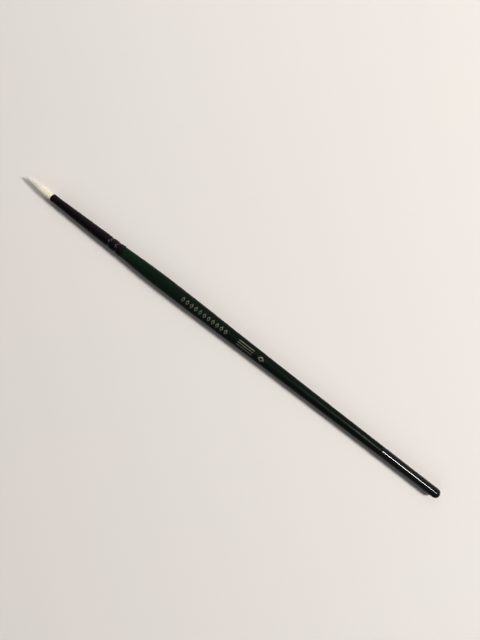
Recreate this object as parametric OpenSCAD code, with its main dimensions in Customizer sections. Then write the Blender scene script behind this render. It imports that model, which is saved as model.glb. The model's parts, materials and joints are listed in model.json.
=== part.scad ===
// Fine detail brush: a small pointed round brush on a short turned handle.
//
// The brush is drawn standing on its point. Its axis is Z, and z = 0 is the very end of the
// filaments. lay_down() then puts it on a table, with its point towards -X, its printed side
// up, and the fullest part of the handle touching z = 0.

/* [Brush] */
// Length over all, from the end of the filaments to the end of the handle
overall_l = 208; // [190:1:230]

/* [Tuft] */
// Length of filament that stands out of the ferrule
tuft_out = 13.7; // [12.5:0.1:15.5]
// Diameter of the tuft where it is fullest
tuft_d = 2.86; // [2.7:0.02:3]
// Diameter of the blunt end of the point
tip_d = 0.3; // [0.1:0.05:0.6]
// Angle that each of the four bends turns to either side
bend_limit = 25; // [18:1:30]

/* [Ferrule] */
// Length of the metal ferrule
ferrule_l = 35.3; // [33:0.1:42]
// Outer diameter of the ferrule at its mouth
mouth_d = 3.15; // [3:0.01:3.4]
// Length of the straight nose behind the mouth
nose_l = 3; // [2:0.5:4]
// Outer diameter of the ferrule where it meets the handle
rear_d = 4.82; // [4.6:0.02:5]
// Thickness of the ferrule's wall
wall_t = 0.2; // [0.15:0.01:0.25]
// Distance from the handle to the middle of the nearer crimp
crimp_from_rear = 2.6; // [2:0.1:4]
// Distance between the two crimps
crimp_pitch = 3.4; // [2.6:0.1:4]
// Width of a crimp
crimp_w = 2; // [1.2:0.1:2.4]
// Depth of a crimp
crimp_depth = 0.24; // [0.1:0.02:0.3]

/* [Handle] */
// Diameter of the handle where it leaves the ferrule
front_d = 4.44; // [4.3:0.02:4.7]
// Diameter of the handle where it is fullest
belly_d = 5.76; // [5.2:0.02:6.6]
// Distance from the ferrule to the middle of the fullest part
belly_at = 23; // [18:1:30]
// Length of the fullest part, which is straight
belly_l = 4; // [2:0.5:6]
// Diameter of the lacquered tail where its straight stretch begins, under the black dip
tail_d = 3.96; // [3.6:0.02:4.2]
// Length of the straight tail
tail_l = 13; // [8:1:20]
// Length of the rounded end of the tail
dome_l = 1.8; // [1.4:0.1:2.4]
// Length of the tenon that goes into the ferrule
tenon_l = 11; // [8:0.5:14]

/* [Finish] */
// Thickness of the green lacquer
lacquer_t = 0.08; // [0.05:0.01:0.12]
// Thickness that the black dip adds over the lacquer
dip_t = 0.05; // [0.03:0.01:0.08]
// How much thicker the dip gathers towards the end of the tail
dip_gather = 0.04; // [0.02:0.01:0.06]
// Length of the black dip
dip_l = 30; // [24:1:45]
// Thickness of the stamped foil
foil_t = 0.03; // [0.02:0.01:0.05]
// Width of the foil marks across the handle
foil_w = 2.3; // [1.6:0.1:2.6]
// Distance from the ferrule to the first foil mark
foil_at = 31; // [24:1:36]
// Angle that the foil is turned round the handle from straight up
foil_turn = 6; // [0:1:20]

/* [Hidden] */

// Every piece is turned about the brush's axis with this many facets. The seam is swung from
// straight down by half a facet of the collision hulls, so that they lie on a flat.
facets = 96;
seam_turn = 180 / 42;

tuft_r = tuft_d / 2;
mouth_r = mouth_d / 2;
rear_r = rear_d / 2;
front_r = front_d / 2;
belly_r = belly_d / 2;
tail_r = tail_d / 2;

// Places along the axis: the ferrule's mouth and its rear end, the start of the straight tail
// and of its rounded end, and the end of the lacquer
mouth_z = tuft_out;
rear_z = mouth_z + ferrule_l;
handle_end_z = overall_l - dip_t;
dome_z = handle_end_z - dome_l;
tail_z = dome_z - tail_l;

// Ferrule: the metal's broken edges, and the steps that draw one crimp
edge_break = 0.06;
crimp_steps = 8;
crimps = [ferrule_l - crimp_from_rear - crimp_pitch, ferrule_l - crimp_from_rear];

// Tenon: its cement, the chamfer at its front end, and the gap between ferrule and lacquer
cement_t = 0.1;
tenon_chamfer = 0.5;
seam_gap = 0.05;

// Handle outline: how full its curves are, and the number of straight steps in each
curve_pull = 0.41;
front_pull = 0.22;
full_pull = 0.61;
front_steps = 10;
back_steps = 24;
dome_steps = 8;
dip_feather = 0.4;

// Filaments in the ferrule, as distances behind the mouth
root_gap = 0.02;
resin_from = 5;
waist_from = 7.4;
waist_to = 9.4;
roots_l = 11;
resin_to = 13;
root_end_r = 1.32;

// Binding thread: its diameter, its number of turns and the distance between them
thread_d = 0.24;
thread_turns = 6;
thread_pitch = 0.27;
thread_clear = 0.01;

// Tuft: the fullest part's place, the pivots of the four bends, the balls' running clearance,
// and a socket's edge, which is clear of the axis by the bend and a little more
tuft_full_z = 0.8 * tuft_out;
pivot_pitch = 2.8;
pivot_inset = 0.8;
pivots = [for (i = [0:3]) mouth_z - pivot_inset - i * pivot_pitch];
ball_clear = 0.03;
ball_steps = 10;
edge_clear = 1;
cup_angle = 90 - bend_limit - edge_clear;

// Foil marks: a row of open lozenges, a set of lines and one larger open lozenge. The width of
// a lozenge's stroke is a share of the lozenge.
stroke_share = 0.5;
lozenge_count = 11;
lozenge_pitch = 2.1;
lozenge_l = 1.5;
line_count = 3;
line_l = 7.6;
line_w = 0.32;
lines_gap = 5.3;
last_l = 3;
last_gap = 2.4;
foil_l = (lozenge_count - 1) * lozenge_pitch + lozenge_l / 2 + lines_gap + line_l + last_gap + last_l;

// ---------- Curves ----------

// Points of a cubic curve with four control points
function cubic(a, b, c, d, steps) = [
    for (i = [0:steps])
        let (t = i / steps, s = 1 - t)
            s * s * s * a + 3 * s * s * t * b + 3 * s * t * t * c + t * t * t * d
];

function reversed(list) = [for (i = [len(list) - 1:-1:0]) list[i]];

// An outline is a list of [radius, z]. This gives its radius at one z.
function radius_at(outline, z) = lookup(z, [for (p = outline) [p[1], p[0]]]);

// The stretch of an outline from z0 to z1, moved outwards by grow
function stretch(outline, z0, z1, grow = 0) = concat(
    [[radius_at(outline, z0) + grow, z0]],
    [for (p = outline) if (p[1] > z0 && p[1] < z1) [p[0] + grow, p[1]]],
    [[radius_at(outline, z1) + grow, z1]]
);

// A quarter of an oval that closes on the axis, from radius r at z to the axis at z + l
function dome(r, l, z, steps) = [
    for (i = [0:steps]) let (a = 90 * i / steps) [r * cos(a), z + l * sin(a)]
];

// ---------- Handle outline ----------

// The outside of the lacquer, from the ferrule to the start of the straight tail
function handle_side() =
    let (
        start = [front_r, rear_z],
        rise = [curve_pull * (belly_r - front_r), front_pull * belly_at],
        full_from = [belly_r, rear_z + belly_at - belly_l / 2],
        full_to = [belly_r, rear_z + belly_at + belly_l / 2],
        fall = [tail_r + curve_pull * (belly_r - tail_r), rear_z + 2 * belly_at],
        front = cubic(start, start + rise, [belly_r, rear_z + full_pull * belly_at], full_from, front_steps),
        back = cubic(full_to, [belly_r, fall[1]], fall, [tail_r, tail_z], back_steps)
    )
    concat(front, back);

side = handle_side();

// From z0 to the end of the tail, moved outwards by grow. The lacquered tail narrows by
// dip_gather over its straight stretch, and a coat that is gathered there makes it up.
function handle_skin(z0, grow, gathered = 0) = concat(
    stretch(side, z0, tail_z, grow),
    dome(tail_r - dip_gather + grow + gathered, dome_l + grow, dome_z, dome_steps)
);

// ---------- Ferrule outline ----------

function taper_r(x) = mouth_r + (rear_r - mouth_r) * max(0, x - nose_l) / (ferrule_l - nose_l);

function crimp_dip(x, c) =
    abs(x - c) < crimp_w / 2 ? crimp_depth * pow(cos(180 * (x - c) / crimp_w), 2) : 0;

// The outside of the ferrule, with its two crimps rolled in
ferrule_side = concat(
    [[mouth_r, mouth_z], [mouth_r, mouth_z + nose_l]],
    [
        for (c = crimps, i = [0:crimp_steps])
            let (x = c + crimp_w * (i / crimp_steps - 0.5))
                [taper_r(x) - crimp_dip(x, c), mouth_z + x]
    ],
    [[rear_r, rear_z]]
);

bore_r = mouth_r - wall_t;

// The bundle's radius where it is bound, which leaves room for the thread in the ferrule
waist_r = taper_r(waist_from) - wall_t - thread_d - 3 * thread_clear;

// ---------- Filament outlines ----------

// The outside of the tuft, from its point to the mouth of the ferrule
tuft_side = concat(
    cubic(
        [tip_d / 2, 0], [0.6 * tuft_r, 0.27 * tuft_full_z],
        [tuft_r, 0.59 * tuft_full_z], [tuft_r, tuft_full_z], front_steps
    ),
    [[bore_r - root_gap, mouth_z]]
);

// The outside of the bundle inside the ferrule: it fills the bore, then is bound to a waist
roots_side = [
    [bore_r - root_gap, mouth_z],
    [bore_r - root_gap, mouth_z + nose_l],
    [radius_at(ferrule_side, mouth_z + resin_from) - wall_t - root_gap, mouth_z + resin_from],
    [waist_r, mouth_z + waist_from],
    [waist_r, mouth_z + waist_to],
    [root_end_r, mouth_z + roots_l]
];

function ball_r(i) = radius_at(tuft_side, pivots[i]);

// The socket at the front of a piece, from its outer edge in to the axis, for ball i
function socket(i) =
    let (
        r = ball_r(i) + ball_clear,
        edge_z = pivots[i] + radius_at(tuft_side, pivots[i] + r / tan(cup_angle)) / tan(cup_angle)
    )
    concat(
        [[radius_at(tuft_side, edge_z), edge_z]],
        [
            for (k = [0:ball_steps])
                let (a = cup_angle * (1 - k / ball_steps))
                    [r * sin(a), pivots[i] + r * cos(a)]
        ]
    );

// ---------- Placing ----------

module lay_down() {
    translate([-overall_l / 2, 0, belly_r])
        rotate([0, 90, 0])
            children();
}

module turned(outline) {
    lay_down()
        rotate(seam_turn)
            rotate_extrude($fn = facets)
                polygon(outline);
}

// ---------- Handle ----------

// Turned wood: the tenon in the ferrule, and the handle behind it
module handle_core() {
    tenon_z = rear_z - tenon_l;
    tenon = stretch(ferrule_side, tenon_z + tenon_chamfer, rear_z, -wall_t - cement_t);
    color("burlywood")
        turned(concat(
            [[0, tenon_z], [tenon[0][0] - tenon_chamfer, tenon_z]],
            tenon,
            handle_skin(rear_z, -lacquer_t)
        ));
}

// The coat of deep green lacquer, over the wood from the ferrule to the end of the tail
module green_lacquer() {
    color([0.04, 0.1, 0.05])
        turned(concat(
            handle_skin(rear_z + seam_gap, 0),
            reversed(handle_skin(rear_z + seam_gap, -lacquer_t))
        ));
}

// The black dip over the lacquer at the tail, with its feathered edge. It gathers towards the
// end as it dries, which leaves the straight stretch a true cylinder.
module tail_dip() {
    dip_z = overall_l - dip_l;
    color([0.03, 0.03, 0.03])
        turned(concat(
            handle_skin(dip_z + dip_feather, dip_t, dip_gather),
            reversed(handle_skin(dip_z, 0))
        ));
}

// ---------- Foil ----------

module open_lozenge(l) {
    corners = [[-l / 2, 0], [0, -foil_w / 2], [l / 2, 0], [0, foil_w / 2]];
    difference() {
        polygon(corners);
        polygon((1 - stroke_share) * corners);
    }
}

// The plain marks, drawn flat: x runs along the handle from the first mark's middle
module foil_shapes() {
    row_l = (lozenge_count - 1) * lozenge_pitch;
    lines_x = row_l + lozenge_l / 2 + lines_gap;
    for (i = [0:lozenge_count - 1])
        translate([i * lozenge_pitch, 0])
            open_lozenge(lozenge_l);
    for (i = [0:line_count - 1])
        translate([lines_x, (i - (line_count - 1) / 2) * (foil_w - line_w) / (line_count - 1) - line_w / 2])
            square([line_l, line_w]);
    translate([foil_l - last_l / 2, 0])
        open_lozenge(last_l);
}

// A generic stamped pattern in pale foil on the top of the handle
module foil_mark() {
    foil_z = rear_z + foil_at;
    film_from = foil_z - lozenge_l;
    film_to = foil_z + foil_l + lozenge_l;
    film = concat(
        stretch(side, film_from, film_to, foil_t),
        reversed(stretch(side, film_from, film_to, 0))
    );
    color([0.75, 0.73, 0.62])
        intersection() {
            turned(film);
            lay_down()
                rotate(180 + foil_turn)
                    translate([0, 0, foil_z])
                        rotate([0, -90, 180])
                            linear_extrude(belly_d)
                                foil_shapes();
        }
}

// ---------- Ferrule ----------

// The seamless tapered tube, with its two crimps pressed right through the wall
module ferrule() {
    last = len(ferrule_side) - 1;
    skin = [for (i = [1:last - 1]) ferrule_side[i]];
    color([0.09, 0.07, 0.08])
        turned(concat(
            [[mouth_r - edge_break, mouth_z], [mouth_r, mouth_z + edge_break]],
            skin,
            [[rear_r, rear_z - edge_break], [rear_r - edge_break, rear_z]],
            [for (p = reversed(ferrule_side)) [p[0] - wall_t, p[1]]]
        ));
}

// The thin layer of glue between the tenon and the ferrule
module handle_cement() {
    cement_z = rear_z - tenon_l + tenon_chamfer;
    color("goldenrod")
        turned(concat(
            stretch(ferrule_side, cement_z, rear_z, -wall_t),
            reversed(stretch(ferrule_side, cement_z, rear_z, -wall_t - cement_t))
        ));
}

// ---------- Roots ----------

module thread_rings() {
    lay_down()
        for (i = [0:thread_turns - 1])
            translate([0, 0, mouth_z + waist_from + thread_d + i * thread_pitch])
                rotate_extrude($fn = facets)
                    translate([waist_r + thread_clear + thread_d / 2, 0])
                        circle(d = thread_d, $fn = 24);
}

// The hard resin round and behind the bound ends of the filaments
module root_plug() {
    color("peru")
        difference() {
            turned(concat(
                stretch(ferrule_side, mouth_z + resin_from, mouth_z + resin_to, -wall_t),
                [[0, mouth_z + resin_to], [0, mouth_z + roots_l]],
                reversed(stretch(roots_side, mouth_z + resin_from, mouth_z + roots_l))
            ));
            thread_rings();
        }
}

// The turns of thread that bind the bundle, each drawn as a closed ring
module binding_thread() {
    color("ivory")
        thread_rings();
}

// The part of the filaments that is held in the ferrule
module filament_roots() {
    color([0.8, 0.74, 0.6])
        turned(concat(socket(0), [[0, mouth_z + roots_l]], reversed(roots_side)));
}

// ---------- Tuft ----------

// One length of the tuft: a socket at the front, the tuft's own outline, and a ball behind
module tuft_length(i) {
    ball = dome(ball_r(i), ball_r(i), pivots[i], ball_steps);
    front = i == 3 ? [[0, 0]] : reversed(socket(i + 1));
    front_z = i == 3 ? 0 : socket(i + 1)[0][1];
    turned(concat(front, stretch(tuft_side, front_z, pivots[i]), ball));
}

module tuft_heel() {
    color([0.86, 0.8, 0.68])
        tuft_length(0);
}

module tuft_belly() {
    color([0.9, 0.86, 0.75])
        tuft_length(1);
}

module tuft_shoulder() {
    color([0.92, 0.89, 0.8])
        tuft_length(2);
}

module tuft_point() {
    color([0.93, 0.91, 0.85])
        tuft_length(3);
}

handle_core();
green_lacquer();
tail_dip();
foil_mark();
ferrule();
handle_cement();
root_plug();
binding_thread();
filament_roots();
tuft_heel();
tuft_belly();
tuft_shoulder();
tuft_point();
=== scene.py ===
"""Looks of the fine detail brush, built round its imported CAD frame.

The brush lies along X, its point towards -X, and its axis is as high as the joints in its tuft.
The lacquer, the dip and the ferrule are turned about that axis from the outlines of the CAD
nodes that they replace. The tuft is made of separate filaments, in four pieces that bend into
each other at the joints.
"""

import json
import math

import bmesh
import bpy
import numpy as np
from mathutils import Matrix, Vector, noise


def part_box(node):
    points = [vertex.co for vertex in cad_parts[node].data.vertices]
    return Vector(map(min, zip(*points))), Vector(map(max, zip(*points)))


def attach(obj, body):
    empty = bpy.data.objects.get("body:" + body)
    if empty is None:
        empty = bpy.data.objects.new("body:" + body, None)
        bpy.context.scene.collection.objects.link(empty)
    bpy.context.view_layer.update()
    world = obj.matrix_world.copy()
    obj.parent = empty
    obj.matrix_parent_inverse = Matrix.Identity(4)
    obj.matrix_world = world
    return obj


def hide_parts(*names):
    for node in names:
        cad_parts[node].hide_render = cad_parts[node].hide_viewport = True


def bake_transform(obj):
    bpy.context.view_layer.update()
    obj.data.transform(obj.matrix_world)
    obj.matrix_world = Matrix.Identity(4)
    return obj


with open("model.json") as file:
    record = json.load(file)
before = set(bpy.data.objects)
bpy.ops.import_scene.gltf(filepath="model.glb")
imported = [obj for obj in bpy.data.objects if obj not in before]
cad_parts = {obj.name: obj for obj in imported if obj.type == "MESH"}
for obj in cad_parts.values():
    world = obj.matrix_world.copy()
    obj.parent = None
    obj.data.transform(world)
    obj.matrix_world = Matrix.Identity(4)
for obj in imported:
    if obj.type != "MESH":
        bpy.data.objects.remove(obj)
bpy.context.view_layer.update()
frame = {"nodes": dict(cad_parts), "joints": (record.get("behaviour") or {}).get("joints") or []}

MM = 0.001
AXIS_Z = frame["joints"][0]["pos_m"][2]
PIVOTS = [joint["pos_m"][0] for joint in frame["joints"]]
TIP_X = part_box("tuft_point")[0].x
MOUTH_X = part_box("ferrule")[0].x
REAR_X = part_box("ferrule")[1].x
ROOT_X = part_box("filament_roots")[1].x
DIP_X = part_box("tail_dip")[0].x
SEED = 5
rng = np.random.default_rng(SEED)


# ---------- Outlines ----------

# How far a face has to lean out or in to belong to a wall, and the digits that its x is kept to
LEANS = 0.02
X_DIGITS = 7


def outline(node, inner=False):
    """The [x, radius] points of a turned CAD node's outer or inner wall, from front to back."""
    mesh = frame["nodes"][node].data
    pick = min if inner else max
    found = {}
    for face in mesh.polygons:
        out = Vector((face.center.y, face.center.z - AXIS_Z)).normalized()
        facing = Vector((face.normal.y, face.normal.z)).dot(out)
        if facing < -LEANS if inner else facing > LEANS:
            for index in face.vertices:
                co = mesh.vertices[index].co
                radius = math.hypot(co.y, co.z - AXIS_Z)
                x = round(co.x, X_DIGITS)
                found[x] = pick(found.get(x, radius), radius)
    return np.array([[x, found[x]] for x in sorted(found)])


def corners(points, least=0.0015):
    """An outline without the points that lie on its straight stretches, where it turns by less
    than least, in radians."""
    kept = [points[0]]
    for here, after in zip(points[1:], points[2:]):
        before = here - kept[-1]
        turn = math.atan2(*(after - here)[::-1]) - math.atan2(*before[::-1])
        if abs(turn) > least:
            kept.append(here)
    return np.array(kept + [points[-1]])


def held_straight(points, reach):
    """An outline with points added beside the ends of its long chords, to keep them straight."""
    held = [points[0]]
    for a, b in zip(points, points[1:]):
        step = (b - a) * reach / np.linalg.norm(b - a)
        if np.linalg.norm(b - a) > 3 * reach:
            held += [a + step, b - step]
        held.append(b)
    return np.array(held)


def smooth(points, spacing, reach, closes=False):
    """Points along a smooth curve through an outline, whose corners on long chords are rounded
    over reach. A curve that closes meets the axis square on."""
    points = held_straight(corners(points), reach)
    gaps = np.linalg.norm(np.diff(points, axis=0), axis=1)[:, None]
    slopes = np.diff(points, axis=0) / gaps
    inside = (slopes[:-1] * gaps[1:] + slopes[1:] * gaps[:-1]) / (gaps[:-1] + gaps[1:])
    tangents = np.vstack([slopes[:1], inside, [[0, -1]] if closes else slopes[-1:]])
    curve = []
    for a, b, u, v, gap in zip(points, points[1:], tangents, tangents[1:], gaps[:, 0]):
        for t in np.linspace(0, 1, max(1, round(gap / spacing)), endpoint=False):
            rise = t * t * (3 - 2 * t)
            leave = t * (1 - t) * (1 - t) * gap
            arrive = t * t * (t - 1) * gap
            curve.append(a + (b - a) * rise + u * leave + v * arrive)
    return np.array(curve + [points[-1]])


def rim(start, end, ahead, steps=8):
    """A half round from one wall of a tube to the other, which bulges along X."""
    middle, half = (start + end) / 2, (start - end) / 2
    bulge = np.array([ahead * np.linalg.norm(half), 0])
    angles = np.linspace(0, math.pi, steps + 1)[1:-1]
    return np.array([middle + half * math.cos(t) + bulge * math.sin(t) for t in angles])


# ---------- Meshes ----------

# A point nearer to the axis than this lies on it
ON_AXIS = 1e-7


def piece(name, vertices, faces):
    mesh = bpy.data.meshes.new(name)
    mesh.from_pydata(vertices, [], faces)
    mesh.shade_smooth()
    made = bpy.data.objects.new(name, mesh)
    bpy.context.scene.collection.objects.link(made)
    return made


def keep(made, name, values):
    """Gives each vertex of a piece a value that its material reads."""
    attribute = made.data.attributes.new(name, "FLOAT", "POINT")
    attribute.data.foreach_set("value", np.array(values, np.float32))


def turned(name, profile, sides, relief=None):
    """A piece turned from a profile of [x, radius] points. A profile that starts and ends on the
    axis closes there, and any other closes on itself. relief gives each point's [dx, dr]."""
    vertices, rings = [], []
    for x, radius in profile:
        count = sides if radius > ON_AXIS else 1
        rings.append(range(len(vertices), len(vertices) + count))
        for i in range(count):
            angle = 2 * math.pi * i / sides
            dx, dr = relief(x, radius, angle) if relief and count > 1 else (0, 0)
            y, z = (radius + dr) * math.sin(angle), (radius + dr) * math.cos(angle)
            vertices.append((x + dx, y, AXIS_Z + z))
    pairs = list(zip(rings, rings[1:]))
    if len(rings[0]) > 1:
        pairs.append((rings[-1], rings[0]))
    faces = []
    for a, b in pairs:
        for i in range(sides):
            j = (i + 1) % sides
            corner = [a[i % len(a)], a[j % len(a)], b[j % len(b)], b[i % len(b)]]
            faces.append(list(dict.fromkeys(corner)))
    return piece(name, vertices, faces)


def uneven(x, angle, along, around, seed):
    """Smooth noise over a round surface, from -1 to 1. Its features are along metres long, and
    around of them go round."""
    reach = around / 4
    place = Vector((x / along + seed, reach * math.sin(angle), reach * math.cos(angle)))
    return noise.noise(place)


# ---------- Handle and ferrule ----------

SIDES = 144

# Coats: the length of a step along a wall and along its hidden lining, and how far the corners
# of the wall are rounded
LINING_STEP = 3 * MM
LACQUER_STEP, LACQUER_ROUND = 0.7 * MM, 2.5 * MM
DIP_STEP, DIP_ROUND = 0.5 * MM, 0.3 * MM

# Where the lacquer meets the ferrule: its lip, the stretch that is squared off and the gap left
LIP, SQUARED, SEAM = 0.04 * MM, 0.1 * MM, 0.01 * MM

# The lacquer's waves, and how far out of the lining a point has to be to take part in them
LACQUER_WAVE, COAT_LEAST = 0.004 * MM, 0.03 * MM

# The dip: how far its edge wanders, the length over which that dies away, and its waves
DIP_WANDER, DIP_EDGE_L = 0.25 * MM, 3 * MM
DIP_WAVE = 0.0008 * MM

# Ferrule: the length of a step, the rounding of its corners, the end of its nose, how uneven the
# crimps are as a share of their depth, the waves of its wall, and the points of the half round
# at its rear end that are kept, which are those on its outside
FERRULE_STEP, FERRULE_ROUND = 0.16 * MM, 0.25 * MM
NOSE_L = 3 * MM
DENT_SHARE = 0.2
FERRULE_WAVE = 0.003 * MM
REAR_RIM_POINTS = 4

# Foil: how high it stands, how deep it is let in, how far its edges wander and how many times a
# millimetre, the lengths over which edges are halved in turn, and the distance that welds points
FOIL_LIFT, FOIL_SUNK = 0.02 * MM, 0.01 * MM
FOIL_WANDER, FOIL_WANDER_SCALE = 0.03 * MM, 2.6
FOIL_EDGES = (0.6 * MM, 0.3 * MM, 0.15 * MM)
FOIL_WELD = 1e-6


def lacquer_wall():
    return smooth(outline("green_lacquer"), LACQUER_STEP, LACQUER_ROUND, closes=True)


def handle_lacquer():
    """The green coat: smooth, with the faint waves that lacquer leaves over wood."""
    wall = lacquer_wall()
    inside = outline("green_lacquer", inner=True)
    lining = smooth(inside, LINING_STEP, LACQUER_ROUND, closes=True)
    lip = rim(lining[0], wall[0] + [LIP, 0], -1, steps=4)
    profile = np.vstack([lining[::-1], lip, wall[1:]])
    x = profile[:, 0]
    profile[:, 0] = np.where(x < REAR_X + SQUARED, REAR_X + SEAM, x)

    def relief(x, radius, angle):
        if radius < np.interp(x, lining[:, 0], lining[:, 1]) + COAT_LEAST:
            return 0, 0
        waves = uneven(x, angle, 22 * MM, 6, 1) + 0.45 * uneven(x, angle, 9 * MM, 18, 7)
        return 0, LACQUER_WAVE * (waves - 1)

    return turned("handle_lacquer", profile, SIDES, relief)


def handle_dip():
    """The black coat on the tail: it starts at a feathered edge that wanders a little."""
    wall = smooth(outline("tail_dip"), DIP_STEP, DIP_ROUND, closes=True)
    lining = smooth(outline("tail_dip", inner=True), LINING_STEP, DIP_ROUND, closes=True)
    profile = np.vstack([lining[::-1], wall])
    edge = wall[0][0]

    def relief(x, radius, angle):
        on_edge = max(0, 1 - (x - edge) / DIP_EDGE_L)
        wander = DIP_WANDER * on_edge * uneven(0, angle, 1, 9, 3)
        return wander, DIP_WAVE * (uneven(x, angle, 16 * MM, 6, 5) - 1)

    return turned("handle_dip", profile, SIDES, relief)


def ferrule_tube():
    """The ferrule: a thin tube with a rolled front rim and a rear rim that is rounded outside,
    and two crimps whose depth varies round it. Each vertex knows how deep it is pressed."""
    wall = outline("ferrule")
    wall = wall[(wall[:, 0] > MOUTH_X) & (wall[:, 0] < REAR_X)]
    thickness = wall[0][1] - outline("ferrule", inner=True)[0][1]
    wall[0][0], wall[-1][0] = MOUTH_X + thickness / 2, REAR_X - thickness / 2
    wall = smooth(wall, FERRULE_STEP, FERRULE_ROUND)
    lining = wall - [0, thickness]
    rounded = rim(wall[-1], lining[-1], 1)[:REAR_RIM_POINTS]
    square = [REAR_X, lining[-1][1]]
    profile = np.vstack([wall, rounded, square, lining[::-1], rim(lining[0], wall[0], -1)])
    nose = np.searchsorted(wall[:, 0], MOUTH_X + NOSE_L)
    uncrimped = np.transpose([wall[0], wall[nose], wall[-1]])

    def depth(x):
        return np.interp(x, *uncrimped) - np.interp(x, *wall.T)

    def relief(x, radius, angle):
        dents = DENT_SHARE * max(0, depth(x)) * uneven(x, angle, 20 * MM, 16, 9)
        return 0, dents + FERRULE_WAVE * (uneven(x, angle, 6 * MM, 5, 2) - 1)

    made = turned("ferrule_tube", profile, SIDES, relief)
    depths = np.array([depth(vertex.co.x) for vertex in made.data.vertices])
    keep(made, "pressed", np.clip(depths / np.max(depths), 0, 1))
    return made


def foil_print():
    """The stamped marks: the CAD node's shapes, laid on the smooth lacquer with uneven edges."""
    skin = lacquer_wall()
    made = bmesh.new()
    made.from_mesh(frame["nodes"]["foil_mark"].data)
    bmesh.ops.remove_doubles(made, verts=made.verts, dist=FOIL_WELD)
    for longest in FOIL_EDGES:
        long_edges = [e for e in made.edges if e.calc_length() > longest]
        bmesh.ops.subdivide_edges(made, edges=long_edges, cuts=1)
        bmesh.ops.triangulate(made, faces=[f for f in made.faces if len(f.verts) > 4])
    for vertex in made.verts:
        x, y, z = vertex.co.x, vertex.co.y, vertex.co.z - AXIS_Z
        bare_and_glints = np.interp(x, skin[:, 0], skin[:, 1])
        on_top = math.hypot(y, z) > bare_and_glints + 0.5 * FOIL_LIFT
        angle = math.atan2(y, z)
        wander = Vector((x / MM, angle * bare_and_glints / MM, 0)) * FOIL_WANDER_SCALE
        x += FOIL_WANDER * noise.noise(wander)
        angle += FOIL_WANDER / bare_and_glints * noise.noise(wander + Vector((9, 4, 0)))
        radius = bare_and_glints + (FOIL_LIFT if on_top else -FOIL_SUNK)
        vertex.co = (x, radius * math.sin(angle), AXIS_Z + radius * math.cos(angle))
    mesh = bpy.data.meshes.new("foil_print")
    made.to_mesh(mesh)
    made.free()
    mesh.shade_flat()
    print_piece = bpy.data.objects.new("foil_print", mesh)
    bpy.context.scene.collection.objects.link(print_piece)
    return print_piece


# ---------- Tuft ----------

TUFT_NODES = ["tuft_heel", "tuft_belly", "tuft_shoulder", "tuft_point"]

# A filament: its radius, which halves over TAPER_L towards its end, and its wander. Filaments
# are packed SPACING apart in a bundle of radius BUNDLE_R.
FILAMENT_R = 0.08 * MM
FILAMENT_SIDES = 5
TAPER_L = 6 * MM
WANDER = 0.035 * MM
BUNDLE_R = 1.31 * MM
SPACING = 0.105 * MM
UNEVEN_PACKING = 0.012

# The bundle: how far it has set to one side, and how many filaments stray from it
BOW = 0.38 * MM
STRAYS = 9

# All the filaments together would fill this share of BUNDLE_R at the point, where they are
# thinner, and BUNDLE_R itself from THINNING_L behind it. Those in the middle reach furthest.
FULL_AT_POINT = 0.45
THINNING_L = 8 * MM
MIDDLE_LASTS = 0.25

# How near the mouth the roots take over from the tuft, the least radius of the outline that is
# followed, and the steps that the room for filaments is worked out in
AT_MOUTH = 0.1 * MM
LEAST_ROOM = 0.1 * MM
ROOM_STEPS = 120

# The shortest stretch of filament that a piece takes, and the shortest last step of one
LEAST_STRETCH, LEAST_STEP = 0.2 * MM, 0.12 * MM
STATIONS = 36


def ease(t):
    t = np.clip(t, 0, 1)
    return t * t * (3 - 2 * t)


def bundle_side():
    """The bundle's outline: its held part's own, and the tuft's without the grooves between the
    lengths that bend."""
    roots = outline("filament_roots")
    points = np.vstack([outline(node) for node in TUFT_NODES])
    points = points[points[:, 0] < MOUTH_X]
    points = [*points[np.argsort(points[:, 0])], *roots[roots[:, 0] > MOUTH_X - AT_MOUTH]]
    side = []
    for point in points:
        free = point[0] < MOUTH_X + AT_MOUTH
        while free and len(side) > 1 and is_dip(side[-2], side[-1], point):
            side.pop()
        side.append(point)
    return np.array([p for p in side if p[1] > LEAST_ROOM])


def is_dip(a, b, c):
    """Whether the middle one of three points of an outline lies below the others' chord."""
    return (b[0] - a[0]) * (c[1] - a[1]) >= (b[1] - a[1]) * (c[0] - a[0])


BUNDLE_SIDE = bundle_side()


def bundle_room(x):
    return np.interp(x, *BUNDLE_SIDE.T)


def bow(x):
    """How far the tuft has set towards +Y at x: none at the mouth and at the point, and BOW at
    a third of the way from the point."""
    t = (x - TIP_X) / (MOUTH_X - TIP_X)
    to_one = 27 / 4
    return BOW * to_one * t * (1 - t) ** 2 if 0 < t < 1 else 0


def places():
    """Where the filaments sit in the bundle's section, as shares of its radius: close packed."""
    reach = int(BUNDLE_R / SPACING) + 2
    found = []
    for row in range(-reach, reach + 1):
        for column in range(-reach, reach + 1):
            y = (column + 0.5 * (row % 2)) * SPACING
            z = row * SPACING * math.sqrt(0.75)
            if math.hypot(y, z) < BUNDLE_R:
                found.append((y / BUNDLE_R, z / BUNDLE_R))
    return np.array(found) + rng.normal(0, UNEVEN_PACKING, (len(found), 2))


def ends(spots):
    """Where each filament stops. As many are left at any x as the narrowing tuft has room for."""
    xs = np.linspace(TIP_X, MOUTH_X, ROOM_STEPS)
    room = np.array([bundle_room(x) for x in xs])
    full = BUNDLE_R * (FULL_AT_POINT + (1 - FULL_AT_POINT) * ease((xs - TIP_X) / THINNING_L))
    left = np.maximum.accumulate(np.minimum(1, (room / full) ** 2))
    key = rng.random(len(spots)) + MIDDLE_LASTS * np.hypot(*spots.T)
    rank = np.argsort(np.argsort(key)) / len(spots)
    return np.interp(rank, left, xs, left=TIP_X)


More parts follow.
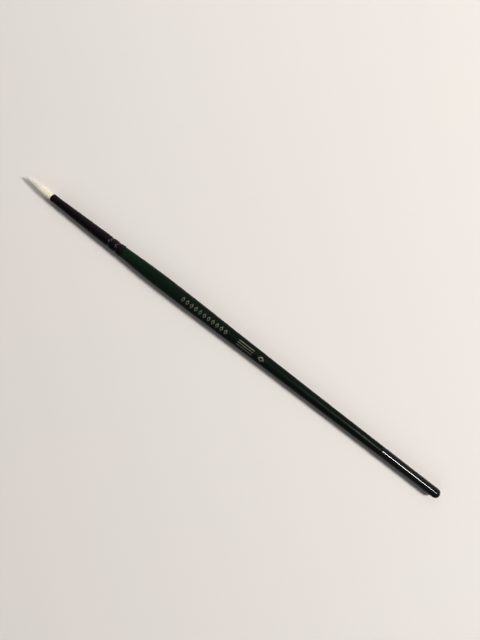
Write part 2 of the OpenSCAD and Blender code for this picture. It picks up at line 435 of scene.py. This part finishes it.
class Filament:
    """One filament: its place in the bundle, its end, and its own slight wander."""

    def __init__(self, place, end, stray):
        self.place, self.end = place, end
        self.radius = FILAMENT_R * rng.uniform(0.88, 1.1)
        self.tone = rng.random()
        self.turn = rng.uniform(0, 2 * math.pi)
        self.phases = rng.uniform(0, 2 * math.pi, 4)
        self.waves = rng.uniform(4, 9, 2) * MM
        self.splay = stray * rng.uniform(0.12, 0.4) * MM

    def thickness(self, x):
        return self.radius * (0.5 + 0.5 * ease((x - self.end) / TAPER_L))

    def centre(self, x):
        out = np.clip((MOUTH_X - x) / (MOUTH_X - TIP_X), 0, 1)
        wander = WANDER * ease(out * 2) * np.array([
            math.sin(2 * math.pi * x / self.waves[0] + self.phases[0]),
            math.sin(2 * math.pi * x / self.waves[1] + self.phases[1]),
        ])
        aside = np.array([math.sin(self.phases[2]), math.cos(self.phases[2])])
        lean = self.splay * out ** 3 * aside
        across = self.place * (bundle_room(x) - self.thickness(x)) + wander + lean
        return across + [bow(x), 0]

    def ring(self, x):
        y, z = self.centre(x)
        r = self.thickness(x)
        for i in range(FILAMENT_SIDES):
            angle = self.turn + 2 * math.pi * i / FILAMENT_SIDES
            yield x, y + r * math.sin(angle), AXIS_Z + z + r * math.cos(angle)


def make_filaments():
    spots = places()
    stray = rng.permutation(len(spots)) < STRAYS
    stops = ends(spots)
    return [Filament(*each) for each in zip(spots, stops, stray)]


def filament_piece(name, filaments, stations, back, front):
    """The stretch of the bundle from x = back to x = front, as closed tubes."""
    vertices, faces, along, tone = [], [], [], []
    inner = [x for x in stations if front < x < back]
    for filament in filaments:
        last = max(front, filament.end)
        if last > back - LEAST_STRETCH:
            continue
        xs = [back] + [x for x in inner if x > last + LEAST_STEP] + [last]
        first = len(vertices)
        for x in xs:
            vertices += filament.ring(x)
        for ring in range(len(xs) - 1):
            a = first + ring * FILAMENT_SIDES
            for i in range(FILAMENT_SIDES):
                j = (i + 1) % FILAMENT_SIDES
                faces.append((a + i, a + j, a + FILAMENT_SIDES + j, a + FILAMENT_SIDES + i))
        end = len(vertices)
        faces.append(tuple(range(first + FILAMENT_SIDES - 1, first - 1, -1)))
        faces.append(tuple(range(end - FILAMENT_SIDES, end)))
        along += [x for x in xs for _ in range(FILAMENT_SIDES)]
        tone += [filament.tone] * (end - first)
    made = piece(name, vertices, faces)
    sharpen_ends(made.data)
    span = MOUTH_X - TIP_X
    keep(made, "along", [(x - TIP_X) / span for x in along])
    keep(made, "tone", tone)
    return made


def sharpen_ends(mesh):
    """Keeps the shading of the filaments' flat ends apart from that of their sides."""
    sharp = mesh.attributes.new("sharp_edge", "BOOLEAN", "EDGE")
    for face in mesh.polygons:
        if len(face.vertices) == FILAMENT_SIDES:
            for loop in face.loop_indices:
                sharp.data[mesh.loops[loop].edge_index].value = True


def make_tuft():
    """The bundle in four pieces, split halfway between the joints."""
    filaments = make_filaments()
    splits = [(a + b) / 2 for a, b in zip(PIVOTS, PIVOTS[1:])]
    held = [x for x, _ in corners(outline("filament_roots")) if MOUTH_X < x < ROOT_X]
    shown = list(np.linspace(MOUTH_X, TIP_X, STATIONS))
    stations = sorted(held + shown, reverse=True)
    names = ["held_filaments", "belly_filaments", "shoulder_filaments", "point_filaments"]
    cuts = [ROOT_X] + splits + [TIP_X]
    made = []
    replaced = [("filament_roots", "tuft_heel")] + [(node,) for node in TUFT_NODES[1:]]
    for i, name in enumerate(names):
        stretch = filament_piece(name, filaments, stations, cuts[i], cuts[i + 1])
        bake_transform(stretch)
        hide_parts(*replaced[i])
        made.append(stretch)
    return made


# ---------- Materials ----------

def put(tree, kind, inputs=None, **settings):
    """Adds a shader node. An input given a socket is linked to it, and any other is set."""
    made = tree.nodes.new("ShaderNode" + kind)
    for key, value in settings.items():
        setattr(made, key, value)
    for key, value in (inputs or {}).items():
        if isinstance(value, bpy.types.NodeSocket):
            tree.links.new(value, made.inputs[key])
        else:
            made.inputs[key].default_value = value
    return made


def start_material(name, **values):
    """A new material and its Principled shader, with some of its inputs set."""
    made = bpy.data.materials.new(name)
    made.use_nodes = True
    shader = made.node_tree.nodes["Principled BSDF"]
    for key, value in values.items():
        shader.inputs[key.replace("_", " ")].default_value = value
    return made, made.node_tree, shader


def rgb(r, g, b):
    return (r, g, b, 1)


def texture(tree, features, detail=3, roughness=0.55):
    """Noise from 0 to 1 whose features have the given sizes in metres along X, Y and Z."""
    place = put(tree, "TexCoord").outputs["Object"]
    scaled = put(tree, "Mapping", {"Vector": place, "Scale": [1 / f for f in features]})
    made = put(tree, "TexNoise", {
        "Vector": scaled.outputs[0], "Scale": 1, "Detail": detail, "Roughness": roughness
    })
    return made.outputs["Fac"]


def along_x(tree, start, end):
    """0 at x = start and 1 at x = end, in metres, and straight between."""
    place = put(tree, "TexCoord").outputs["Object"]
    x = put(tree, "SeparateXYZ", {0: place}).outputs["X"]
    return put(tree, "MapRange", {0: x, 1: start, 2: end, 3: 0, 4: 1}).outputs[0]


def spread(tree, value, low, high, start=0.3, end=0.7):
    """Noise between start and end, stretched to go from low to high."""
    return put(tree, "MapRange", {0: value, 1: start, 2: end, 3: low, 4: high}).outputs[0]


def times(tree, a, b):
    return put(tree, "Math", {0: a, 1: b}, operation="MULTIPLY").outputs[0]


def mix(tree, factor, a, b):
    made = put(tree, "Mix", data_type="RGBA")
    for socket, value in zip((made.inputs[0], made.inputs[6], made.inputs[7]), (factor, a, b)):
        if isinstance(value, bpy.types.NodeSocket):
            tree.links.new(value, socket)
        else:
            socket.default_value = value
    return made.outputs[2]


def ramp(tree, factor, stops):
    made = put(tree, "ValToRGB", {0: factor})
    elements = made.color_ramp.elements
    while len(elements) < len(stops):
        elements.new(0.5)
    for element, (position, colour) in zip(elements, stops):
        element.position = position
        element.color = rgb(*colour)
    return made.outputs[0]


def bump(tree, shader, height, depth):
    made = put(tree, "Bump", {"Strength": 1, "Distance": depth, "Height": height})
    tree.links.new(made.outputs[0], shader.inputs["Normal"])


def show(tree, shader):
    """Makes a shader the one that the surface shows."""
    tree.links.new(shader.outputs[0], tree.nodes["Material Output"].inputs["Surface"])


def lacquer_material():
    """Green stain and lacquer over fine lengthwise grain, greenest where the coat is thin."""
    made, tree, shader = start_material(
        "green_lacquer", Specular_IOR_Level=0.14, Specular_Tint=rgb(0.8, 1, 0.85)
    )
    grain = texture(tree, (14 * MM, 0.35 * MM, 0.35 * MM), detail=6, roughness=0.65)
    clouds = texture(tree, (9 * MM, 3 * MM, 3 * MM), detail=2)
    base = ramp(tree, along_x(tree, REAR_X, DIP_X), [
        (0.0, (0.007, 0.028, 0.0105)), (0.1, (0.006, 0.0185, 0.0085)),
        (0.4, (0.0052, 0.0112, 0.007)), (1.0, (0.0048, 0.0072, 0.0055)),
    ])
    dark = mix(tree, spread(tree, grain, 0, 1), base, rgb(0.0025, 0.005, 0.0032))
    colour = mix(tree, spread(tree, clouds, 0, 0.45), dark, base)
    tree.links.new(colour, shader.inputs["Base Color"])
    streaks = texture(tree, (7 * MM, 0.5 * MM, 0.5 * MM), detail=3)
    roughness = put(tree, "Math", {
        0: spread(tree, grain, 0, 0.16), 1: spread(tree, streaks, 0.14, 0.4)
    })
    tree.links.new(roughness.outputs[0], shader.inputs["Roughness"])
    bump(tree, shader, grain, 0.008 * MM)
    return made


def dip_material():
    """Black gloss paint, with the slightest orange peel."""
    made, tree, shader = start_material(
        "black_dip", Base_Color=rgb(0.0085, 0.0082, 0.008), Specular_IOR_Level=0.3
    )
    peel = texture(tree, (1.6 * MM, 0.9 * MM, 0.9 * MM), detail=1)
    specks = texture(tree, (0.2 * MM, 0.2 * MM, 0.2 * MM), detail=2)
    tree.links.new(spread(tree, specks, 0.04, 0.09), shader.inputs["Roughness"])
    bump(tree, shader, peel, 0.0004 * MM)
    return made


def ferrule_material():
    """Black plating over metal, drawn lengthwise, with painted glints: paler metal flecks in the
    crimps stand in for highlights that the grooves catch.
    """
    made, tree, shader = start_material("ferrule_metal", Metallic=1)
    drawn = texture(tree, (8 * MM, 0.09 * MM, 0.09 * MM), detail=4)
    blotch = texture(tree, (5 * MM, 2 * MM, 2 * MM), detail=2)
    dark, light = rgb(0.029, 0.018, 0.026), rgb(0.042, 0.029, 0.038)
    tone = mix(tree, spread(tree, blotch, 0, 1), dark, light)
    colour = mix(tree, spread(tree, drawn, 0, 0.5), tone, rgb(0.05, 0.038, 0.046))
    # Painted highlights: flecks of pale metal colour where the crimps are pressed in, standing in
    # for glints in the grooves
    flecks = texture(tree, (0.5 * MM, 0.4 * MM, 0.4 * MM), detail=1)
    pressed = put(tree, "Attribute", attribute_name="pressed").outputs["Fac"]
    bare_and_glints = times(tree, spread(tree, flecks, 0, 1, 0.6, 0.66), pressed)
    wear_and_glints = mix(tree, bare_and_glints, colour, rgb(0.42, 0.38, 0.39))
    tree.links.new(wear_and_glints, shader.inputs["Base Color"])
    tree.links.new(spread(tree, drawn, 0.3, 0.42), shader.inputs["Roughness"])
    bump(tree, shader, drawn, 0.0015 * MM)
    return made


def foil_material():
    """Pale foil whose stamping is uneven: it is thin in places, and the lacquer shows through."""
    made, tree, shader = start_material("foil")
    missing = texture(tree, (0.5 * MM, 0.5 * MM, 0.5 * MM), detail=4, roughness=0.7)
    crackle = texture(tree, (0.12 * MM, 0.12 * MM, 0.12 * MM), detail=2)
    wear_and_glints = spread(tree, missing, 0, 0.9, 0.48, 0.66)
    pale = mix(tree, crackle, rgb(0.19, 0.18, 0.135), rgb(0.3, 0.288, 0.225))
    tree.links.new(mix(tree, wear_and_glints, pale, rgb(0.012, 0.018, 0.012)), shader.inputs["Base Color"])
    tree.links.new(spread(tree, wear_and_glints, 0.6, 0.1, 0, 1), shader.inputs["Metallic"])
    tree.links.new(spread(tree, crackle, 0.3, 0.5), shader.inputs["Roughness"])
    bump(tree, shader, crackle, 0.004 * MM)
    return made


def wood_material():
    """Bare hardwood: fine lengthwise grain with darker pores."""
    made, tree, shader = start_material("wood", Roughness=0.62)
    grain = texture(tree, (16 * MM, 0.5 * MM, 0.5 * MM), detail=6)
    pores = texture(tree, (3 * MM, 0.14 * MM, 0.14 * MM), detail=2)
    colour = mix(tree, spread(tree, grain, 0, 1), rgb(0.62, 0.42, 0.24), rgb(0.46, 0.29, 0.15))
    spotted = mix(tree, spread(tree, pores, 0, 1, 0.62, 0.7), colour, rgb(0.2, 0.11, 0.05))
    tree.links.new(spotted, shader.inputs["Base Color"])
    bump(tree, shader, pores, 0.02 * MM)
    return made


def cured_material(name, thick, thin, roughness, bubbles):
    """A cured glue or resin: its colour varies with its thickness, and bubbles pit it."""
    made, tree, shader = start_material(name, Roughness=roughness, Coat_Weight=0.4)
    depth = texture(tree, (2 * MM, 1.2 * MM, 1.2 * MM), detail=2)
    pits = texture(tree, (bubbles, bubbles, bubbles), detail=1)
    colour = mix(tree, spread(tree, depth, 0, 1), rgb(*thick), rgb(*thin))
    tree.links.new(colour, shader.inputs["Base Color"])
    bump(tree, shader, spread(tree, pits, 0, 1, 0.2, 0.4), 0.02 * MM)
    return made


def thread_material():
    """Twisted cotton: strands that run slantwise round each turn."""
    made, tree, shader = start_material("thread", Roughness=0.85, Sheen_Weight=0.3)
    place = put(tree, "TexCoord").outputs["Object"]
    slant = put(tree, "Mapping", {"Vector": place, "Rotation": (0.5, 0.4, 0.6)}).outputs[0]
    ply = put(tree, "TexWave", {"Vector": slant, "Scale": 0.9 / MM, "Distortion": 1.2})
    fuzz = texture(tree, (0.05 * MM, 0.05 * MM, 0.05 * MM), detail=3)
    colour = mix(tree, ply.outputs["Fac"], rgb(0.6, 0.56, 0.46), rgb(0.83, 0.8, 0.7))
    fuzzy = mix(tree, spread(tree, fuzz, 0, 0.4), colour, rgb(0.9, 0.88, 0.8))
    tree.links.new(fuzzy, shader.inputs["Base Color"])
    bump(tree, shader, ply.outputs["Fac"], 0.03 * MM)
    return made


def filament_material():
    """Pale synthetic filament that lets some light through, most of it near the point: nearly
    white at the point, cream along the tuft, and tan at the ferrule, where dressing has dried."""
    made, tree, shader = start_material("filament", Roughness=0.38)
    along = put(tree, "Attribute", attribute_name="along").outputs["Fac"]
    tone = put(tree, "Attribute", attribute_name="tone").outputs["Fac"]
    base = ramp(tree, along, [
        (0.0, (0.965, 0.95, 0.9)), (0.25, (0.93, 0.905, 0.825)), (0.6, (0.905, 0.867, 0.765)),
        (0.88, (0.89, 0.845, 0.72)), (1.0, (0.83, 0.74, 0.55)),
    ])
    streaks = texture(tree, (3 * MM, 0.2 * MM, 0.2 * MM), detail=3)
    warmer = mix(tree, 0.12, base, rgb(0.8, 0.7, 0.5))
    colour = mix(tree, times(tree, tone, streaks), base, warmer)
    tree.links.new(colour, shader.inputs["Base Color"])
    tree.links.new(spread(tree, tone, 0.3, 0.48, 0, 1), shader.inputs["Roughness"])
    through = put(tree, "BsdfTranslucent", {"Color": colour})
    share = put(tree, "MapRange", {0: along, 1: 0, 2: 0.7, 3: 0.15, 4: 0.05}).outputs[0]
    show(tree, put(tree, "MixShader", {0: share, 1: shader.outputs[0], 2: through.outputs[0]}))
    return made


BACKDROP = rgb(0.78, 0.75, 0.73)

# The paper: where it starts to fade into the backdrop and where it has, in metres from the
# brush, and how strong the painted shade is that darkens its near side in the gloss, over what
# width
FADE_FROM, FADE_TO = 0.2, 0.7
NEAR_PAINTED_SHADE, NEAR_EDGE = 0.6, 4 * MM


def floor_material():
    """White paper, very slightly warm, with a fine tooth. Well away from the brush it fades into
    the backdrop, and in the gloss its near side is darkened by painted shade in its colour."""
    made, tree, shader = start_material("paper", Roughness=0.75)
    tooth = texture(tree, (0.5 * MM, 0.5 * MM, 0.5 * MM), detail=4)
    cloud = texture(tree, (90 * MM, 90 * MM, 90 * MM), detail=2)
    pinker, greener = rgb(0.736, 0.695, 0.673), rgb(0.727, 0.704, 0.668)
    colour = mix(tree, spread(tree, cloud, 0, 1), pinker, greener)
    place = put(tree, "TexCoord").outputs["Object"]
    path = put(tree, "LightPath").outputs
    near_side = put(tree, "SeparateXYZ", {0: place}).outputs["Y"]
    # Painted shade: reflected rays see the paper's near side darkened towards black, a painted
    # shadow in the brush's gloss
    painted_gloss_shade = put(tree, "MapRange", {
        0: near_side, 1: -NEAR_EDGE, 2: NEAR_EDGE, 3: NEAR_PAINTED_SHADE, 4: 0
    }).outputs[0]
    colour = mix(tree, times(tree, painted_gloss_shade, path["Is Glossy Ray"]), colour, rgb(0, 0, 0))
    tree.links.new(colour, shader.inputs["Base Color"])
    bump(tree, shader, tooth, 0.01 * MM)
    away = put(tree, "VectorMath", {0: place}, operation="LENGTH").outputs["Value"]
    far = put(tree, "MapRange", {
        0: away, 1: FADE_FROM, 2: FADE_TO, 3: 0, 4: 1
    }, interpolation_type="SMOOTHSTEP").outputs[0]
    faded = times(tree, far, path["Is Camera Ray"])
    backdrop = put(tree, "Emission", {"Color": BACKDROP})
    show(tree, put(tree, "MixShader", {0: faded, 1: shader.outputs[0], 2: backdrop.outputs[0]}))
    return made


def wear(target, made):
    """Gives a piece, or a CAD node's object, one material."""
    target.data.materials.clear()
    target.data.materials.append(made)


# ---------- Stage ----------

KEY_AWAY = 1.45
KEY_PLACE = KEY_AWAY * Vector((0.72, 0.52, 1)).normalized()
KEY_SIZE = (0.32, 0.32)
KEY_COLOUR = (1, 0.98, 0.965)
FILL_COLOUR = (0.97, 0.98, 1)

# The room's light on matt surfaces, and what the gloss sees of the room from its near side to
# its far side
ROOM_LIGHT = rgb(0.05, 0.05, 0.05)
GLOSS_LIGHT = [(0.1, (0.12, 0.12, 0.12)), (0.5, (0.2, 0.2, 0.2)), (0.95, (0.6, 0.6, 0.6))]

# The floor: half its width in metres, and how far it lies below the brush
FLOOR_HALF = 4
FLOOR_BELOW = 0.01 * MM

# The camera: its lens and its sensor in millimetres, its height over the brush's axis, the point
# that it is above, and its turn in degrees
LENS, SENSOR = 29.25, 36
CAMERA_HEIGHT = 207 * MM
CAMERA_OVER = (-1.4 * MM, 6.97 * MM)
CAMERA_TURN = 37.67

# The contrast of a phone's picture
PHONE_GAMMA = 0.85


def area_light(
    name, power, size, place, colour=(1, 1, 1), aimed=True, in_gloss=False, on_matt=True, turn=0
):
    """A panel of light, which faces the brush if it's aimed, and straight down if it isn't."""
    data = bpy.data.lights.new(name, "AREA")
    data.energy, data.shape, data.color = power, "RECTANGLE", colour
    data.size, data.size_y = size
    made = bpy.data.objects.new(name, data)
    made.location = place
    made.rotation_euler.z = math.radians(turn)
    if aimed:
        made.rotation_euler = (-made.location).to_track_quat("-Z", "Y").to_euler()
    made.visible_glossy, made.visible_diffuse = in_gloss, on_matt
    made.visible_camera = False
    bpy.context.scene.collection.objects.link(made)
    return made


def pass_through(light, pieces):
    """Lets a light through some pieces, as if they cast no shadow."""
    unshaded = bpy.data.collections.new("unshaded")
    light.light_linking.blocker_collection = unshaded
    for each in pieces:
        unshaded.objects.link(each)
    for entry in unshaded.collection_objects:
        entry.light_linking.link_state = "EXCLUDE"


def make_lights(tuft):
    """A soft key from the side of the tail, part of which the pale filaments let through, a wide
    fill, a weak light near the tuft, and two lamps that only show as a line in the gloss."""
    area_light("key", 18.5, KEY_SIZE, KEY_PLACE, KEY_COLOUR)
    through = area_light("key_through_tuft", 5.5, KEY_SIZE, KEY_PLACE, KEY_COLOUR)
    pass_through(through, tuft)
    area_light("fill", 3.4, (1.6, 0.9), (-0.15, -0.92, 0.77), FILL_COLOUR)
    area_light("top", 0.4, (0.3, 0.3), (-0.21, 0.27, 0.3))
    gloss_only = {"aimed": False, "in_gloss": True, "on_matt": False}
    area_light("lamp", 8, (0.23, 0.1), (0.518, 0.26, 1), turn=-40, **gloss_only)
    area_light("lamp_end", 0.028, (0.3, 0.12), (0.28, 0.3, 1), **gloss_only)


def make_room():
    """The room: what the camera sees past the floor, a low light for matt surfaces, and for
    gloss a far side that is brighter than the near one."""
    world = bpy.data.worlds.new("room")
    world.use_nodes = True
    tree = world.node_tree
    path = put(tree, "LightPath").outputs
    direction = put(tree, "TexCoord").outputs["Generated"]
    toward = put(tree, "SeparateXYZ", {0: direction}).outputs["Y"]
    across = put(tree, "MapRange", {0: toward, 1: -1, 2: 1}).outputs[0]
    lit = mix(tree, path["Is Glossy Ray"], ROOM_LIGHT, ramp(tree, across, GLOSS_LIGHT))
    colour = mix(tree, path["Is Camera Ray"], lit, BACKDROP)
    tree.links.new(colour, tree.nodes["Background"].inputs["Color"])
    bpy.context.scene.world = world


def make_floor():
    signs = [(-1, -1), (1, -1), (1, 1), (-1, 1)]
    rim_points = [(FLOOR_HALF * x, FLOOR_HALF * y, 0) for x, y in signs]
    floor = piece("floor", rim_points, [(0, 1, 2, 3)])
    floor.location.z = -FLOOR_BELOW
    wear(floor, floor_material())


def make_camera():
    """Straight above the brush, as close as a phone is held, and turned so that the point is at
    the upper left."""
    data = bpy.data.cameras.new("camera")
    data.lens, data.sensor_width = LENS, SENSOR
    data.clip_start, data.clip_end = 0.01, 20
    made = bpy.data.objects.new("camera", data)
    made.location = (*CAMERA_OVER, AXIS_Z + CAMERA_HEIGHT)
    made.rotation_euler = (0, 0, math.radians(CAMERA_TURN))
    bpy.context.scene.collection.objects.link(made)
    bpy.context.scene.camera = made


# ---------- The brush ----------

for build, node, slot, made in (
    (handle_lacquer, "green_lacquer", "green_lacquer", lacquer_material()),
    (handle_dip, "tail_dip", "black_dip", dip_material()),
    (ferrule_tube, "ferrule", "ferrule_metal", ferrule_material()),
    (foil_print, "foil_mark", "foil", foil_material()),
):
    part = build()
    wear(part, made)
    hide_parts(node)
    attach(part, "handle")

filament = filament_material()
tuft = make_tuft()
for stretch in tuft:
    wear(stretch, filament)

cement = cured_material("cement", (0.5, 0.3, 0.08), (0.72, 0.52, 0.22), 0.4, 0.3 * MM)
resin = cured_material("resin", (0.3, 0.14, 0.04), (0.5, 0.28, 0.1), 0.25, 0.2 * MM)
for node, made in (
    ("handle_core", wood_material()),
    ("handle_cement", cement),
    ("root_plug", resin),
    ("binding_thread", thread_material()),
):
    wear(frame["nodes"][node], made)

make_floor()
make_lights(tuft)
make_room()
make_camera()
bpy.context.scene.view_settings.view_transform = "Standard"
bpy.context.scene.view_settings.gamma = PHONE_GAMMA
